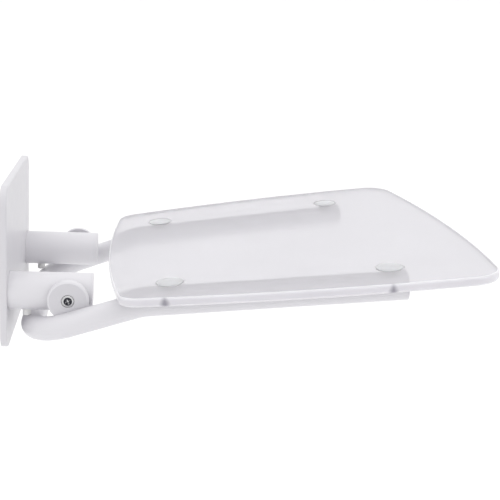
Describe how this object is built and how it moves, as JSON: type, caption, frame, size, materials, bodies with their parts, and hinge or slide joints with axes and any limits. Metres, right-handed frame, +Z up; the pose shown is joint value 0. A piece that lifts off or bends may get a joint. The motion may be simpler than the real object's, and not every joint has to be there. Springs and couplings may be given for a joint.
{
  "type": "wall-mounted folding shower seat",
  "caption": "Wall-mounted shower seat with a white bent-tube frame hinged on horizontal arms and a frosted translucent bowed seat panel that folds up against the wall.",
  "frame": {"origin": "on the wall surface (back face of the backing plate), midway between the two arms, at the height of the arms' centre lines", "axes": "+X out from the wall towards the front of the seat, +Y across the seat (to the right for a person who faces the wall), +Z up"},
  "size_m": [0.5037, 0.4164, 0.1698],
  "materials": {
    "white_frame": "gloss white powder coat",
    "white_cover": "gloss",
    "white_plastic": "satin",
    "frosted_acrylic": "frosted translucent",
    "cap_plastic": "gloss, slightly blue translucent",
    "screw_steel": "polished",
    "dark_steel": "dark passivated",
    "zinc_steel": "zinc plated",
    "bush_plastic": "natural",
    "black_rubber": "matt"
  },
  "bodies": {
    "wall_bracket": {"backing_plate": "zinc_steel", "wall_cover": "white_cover", "arm_left": "white_frame", "arm_end_cap_left": "white_plastic", "pivot_barrel_left": "zinc_steel", "pivot_screw_left": "screw_steel", "stop_buffer_left": "bush_plastic", "arm_right": "white_frame", "arm_end_cap_right": "white_plastic", "pivot_barrel_right": "zinc_steel", "pivot_screw_right": "screw_steel", "stop_buffer_right": "bush_plastic"},
    "folding_seat": {"seat_frame": "white_frame", "seat_panel": "frosted_acrylic", "seat_bolts": "dark_steel", "saddle_washers": "black_rubber", "rivet_nuts": "zinc_steel", "hinge_lug_left": "white_frame", "pivot_bush_left": "bush_plastic", "thrust_washer_left": "bush_plastic", "tube_end_plug_left": "white_plastic", "cap_rear_left": "cap_plastic", "cap_front_left": "cap_plastic", "hinge_lug_right": "white_frame", "pivot_bush_right": "bush_plastic", "thrust_washer_right": "bush_plastic", "tube_end_plug_right": "white_plastic", "cap_rear_right": "cap_plastic", "cap_front_right": "cap_plastic"}
  },
  "joints": [
    {"name": "seat_fold", "type": "hinge", "parent": "wall_bracket", "child": "folding_seat", "pos_m": [0.0672, 0, -0.0015], "axis": [0, -1, 0], "range_deg": [0, 86]}
  ]
}
